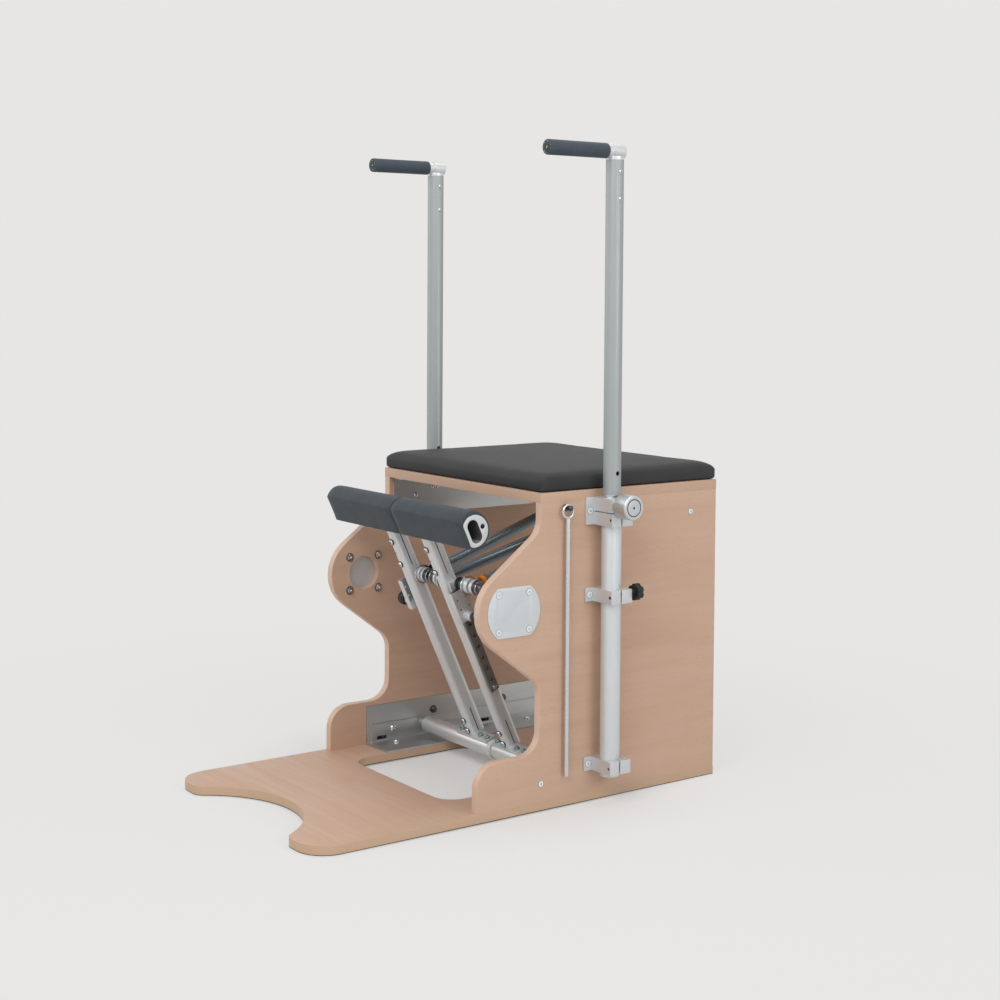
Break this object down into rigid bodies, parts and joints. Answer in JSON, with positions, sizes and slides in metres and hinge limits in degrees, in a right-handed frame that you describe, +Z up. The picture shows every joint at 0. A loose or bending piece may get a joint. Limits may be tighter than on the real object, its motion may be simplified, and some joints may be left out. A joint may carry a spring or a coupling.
{
  "type": "pilates chair",
  "caption": "Plywood pilates chair with a padded seat, split spring-loaded foot pedals with foam pads, and height-adjustable handle poles on both sides.",
  "frame": {"origin": "on the floor, at the middle of the footprint", "axes": "-Y towards the pedals' front, +X to the side with the stored rod, +Z up"},
  "size_m": [0.769, 0.964, 1.306],
  "materials": {
    "plywood": "satin clear lacquer over birch plywood",
    "vinyl": "matt charcoal vinyl",
    "foot_rubber": "matt",
    "zinc_plate": "bright zinc",
    "steel_bar": "polished",
    "cover_silver": "fine brushed",
    "pole_silver": "satin anodised",
    "bushing": "bright",
    "clamp_silver": "satin anodised",
    "arm_silver": "satin anodised",
    "rack_steel": "zinc",
    "foam": "matt slate foam",
    "knob_black": "fine texture",
    "knob_silver": "turned",
    "spring_steel": "bright",
    "ring_orange": "gloss"
  },
  "bodies": {
    "chassis": {"base_board": "plywood", "rubber_feet": "foot_rubber", "seat_board": "plywood", "seat_cushion": "vinyl", "pivot_axle": "steel_bar", "spring_anchor_bar": "steel_bar", "storage_stud": "steel_bar", "side_panel_left": "plywood", "side_panel_right": "plywood", "upper_bracket_left": "zinc_plate", "upper_bracket_right": "zinc_plate", "lower_bracket_left": "zinc_plate", "lower_bracket_right": "zinc_plate", "cover_plate_left": "cover_silver", "cover_plate_right": "cover_silver", "lower_pole_left": "pole_silver", "lower_pole_right": "pole_silver", "pole_bushing_left": "bushing", "pole_bushing_right": "bushing", "top_bracket_left": "clamp_silver", "top_bracket_right": "clamp_silver", "middle_bracket_left": "clamp_silver", "middle_bracket_right": "clamp_silver", "foot_bracket_left": "clamp_silver", "foot_bracket_right": "clamp_silver"},
    "rod": {"connecting_rod": "steel_bar"},
    "pole_left": {"upper_pole_left": "pole_silver", "handle_fitting_left": "clamp_silver", "handle_grip_left": "foam"},
    "index_knob_left": {"index_knob_left": "knob_silver"},
    "star_knob_left": {"star_knob_left": "knob_black"},
    "pedal_left": {"pedal_sleeve_left": "steel_bar", "arm_clamp_left": "clamp_silver", "pedal_arm_left": "arm_silver", "pad_post_left": "rack_steel", "rack_left": "rack_steel", "carriage_left": "clamp_silver", "pad_core_left": "arm_silver", "pad_foam_left": "foam"},
    "carriage_knob_left": {"carriage_knob_left": "knob_black"},
    "spring_swing_left": {"spring_inner_left": "spring_steel"},
    "spring_end_left": {"spring_ring_left": "ring_orange"},
    "pole_right": {"upper_pole_right": "pole_silver", "handle_fitting_right": "clamp_silver", "handle_grip_right": "foam"},
    "index_knob_right": {"index_knob_right": "knob_silver"},
    "star_knob_right": {"star_knob_right": "knob_black"},
    "pedal_right": {"pedal_sleeve_right": "steel_bar", "arm_clamp_right": "clamp_silver", "pedal_arm_right": "arm_silver", "pad_post_right": "rack_steel", "rack_right": "rack_steel", "carriage_right": "clamp_silver", "pad_core_right": "arm_silver", "pad_foam_right": "foam"},
    "carriage_knob_right": {"carriage_knob_right": "knob_black"},
    "spring_swing_right": {"spring_inner_right": "spring_steel", "spring_outer_right": "spring_steel"},
    "spring_end_right": {"spring_ring_right": "ring_orange"}
  },
  "joints": [
    {"name": "rod_swing", "type": "hinge", "parent": "chassis", "child": "rod", "pos_m": [0.294, 0.082, 0.594], "axis": [1, 0, 0], "range_deg": [-25, 4]},
    {"name": "pole_slide_left", "type": "slide", "parent": "chassis", "child": "pole_left", "axis": [0, 0, 1], "range_m": [-0.063, 0.189]},
    {"name": "index_pull_left", "type": "slide", "parent": "chassis", "child": "index_knob_left", "axis": [-1, 0, 0], "range_m": [0, 0.008], "stiffness_N_per_m": 800, "springref_m": -0.006},
    {"name": "star_turn_left", "type": "hinge", "parent": "chassis", "child": "star_knob_left", "pos_m": [-0.343, 0.19, 0.4235], "axis": [0, 1, 0], "range_deg": [0, 360]},
    {"name": "pedal_press_left", "type": "hinge", "parent": "chassis", "child": "pedal_left", "pos_m": [0, 0.1115, 0.05], "axis": [1, 0, 0], "range_deg": [0, 55], "stiffness_Nm_per_rad": 60, "springref_deg": -20.05},
    {"name": "carriage_pull_left", "type": "slide", "parent": "pedal_left", "child": "carriage_knob_left", "axis": [-1, 0, 0], "range_m": [0, 0.008], "stiffness_N_per_m": 600, "springref_m": -0.006},
    {"name": "spring_swing_left", "type": "hinge", "parent": "chassis", "child": "spring_swing_left", "pos_m": [0, 0.452, 0.575], "axis": [1, 0, 0], "range_deg": [0, 18]},
    {"name": "spring_stretch_left", "type": "slide", "parent": "spring_swing_left", "child": "spring_end_left", "axis": [0, -0.9585, -0.2852], "range_m": [0, 0.4], "deforming": ["spring_inner_left"]},
    {"name": "pole_slide_right", "type": "slide", "parent": "chassis", "child": "pole_right", "axis": [0, 0, 1], "range_m": [-0.063, 0.189]},
    {"name": "index_pull_right", "type": "slide", "parent": "chassis", "child": "index_knob_right", "axis": [1, 0, 0], "range_m": [0, 0.008], "stiffness_N_per_m": 800, "springref_m": -0.006},
    {"name": "star_turn_right", "type": "hinge", "parent": "chassis", "child": "star_knob_right", "pos_m": [0.343, 0.19, 0.4235], "axis": [0, 1, 0], "range_deg": [0, 360]},
    {"name": "pedal_press_right", "type": "hinge", "parent": "chassis", "child": "pedal_right", "pos_m": [0, 0.1115, 0.05], "axis": [1, 0, 0], "range_deg": [0, 55], "stiffness_Nm_per_rad": 60, "springref_deg": -20.05},
    {"name": "carriage_pull_right", "type": "slide", "parent": "pedal_right", "child": "carriage_knob_right", "axis": [1, 0, 0], "range_m": [0, 0.008], "stiffness_N_per_m": 600, "springref_m": -0.006},
    {"name": "spring_swing_right", "type": "hinge", "parent": "chassis", "child": "spring_swing_right", "pos_m": [0, 0.452, 0.575], "axis": [1, 0, 0], "range_deg": [0, 18]},
    {"name": "spring_stretch_right", "type": "slide", "parent": "spring_swing_right", "child": "spring_end_right", "axis": [0, -0.9585, -0.2852], "range_m": [0, 0.4], "deforming": ["spring_inner_right", "spring_outer_right"]}
  ],
  "couplings": [
    {"joint": "spring_swing_left", "follows": "pedal_press_left", "ratio": 0.2489},
    {"joint": "spring_stretch_left", "follows": "pedal_press_left", "m_per_rad": 0.3562},
    {"joint": "spring_swing_right", "follows": "pedal_press_right", "ratio": 0.2489},
    {"joint": "spring_stretch_right", "follows": "pedal_press_right", "m_per_rad": 0.3562}
  ]
}
